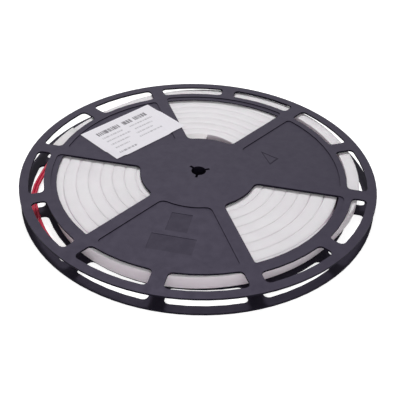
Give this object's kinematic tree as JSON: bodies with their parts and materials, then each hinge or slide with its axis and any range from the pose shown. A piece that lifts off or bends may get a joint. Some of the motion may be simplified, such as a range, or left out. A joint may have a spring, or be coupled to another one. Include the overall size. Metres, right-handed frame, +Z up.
{
  "type": "neon flex strip reel",
  "caption": "White silicone neon flex strip wound on an open charcoal plastic reel, with end caps, a red two core lead and a plain paper label.",
  "frame": {"origin": "centre of the arbor hole at the lower flange's outer face, which is the ground plane", "axes": "+Z up along the winding axis, the reel lying flat; +X to the viewer's right and +Y away from the viewer in the picture"},
  "size_m": [0.33, 0.33, 0.0188],
  "materials": {
    "reel_plastic": "satin charcoal moulded polystyrene",
    "strip_silicone": "soft satin milky white silicone",
    "cap_silicone": "soft satin white silicone",
    "wire_insulation": "semi gloss red insulation",
    "wire_metal": "dull tinned copper strands",
    "label_paper": "matt pale paper"
  },
  "bodies": {
    "root": {"reel_half_upper": "reel_plastic", "reel_half_lower": "reel_plastic", "neon_flex_strip": "strip_silicone", "end_cap_outlet": "cap_silicone", "end_cap_closed": "cap_silicone", "lead_wire_1": "wire_insulation", "lead_wire_2": "wire_insulation", "wire_end_1": "wire_metal", "wire_end_2": "wire_metal", "paper_label": "label_paper"}
  },
  "joints": []
}
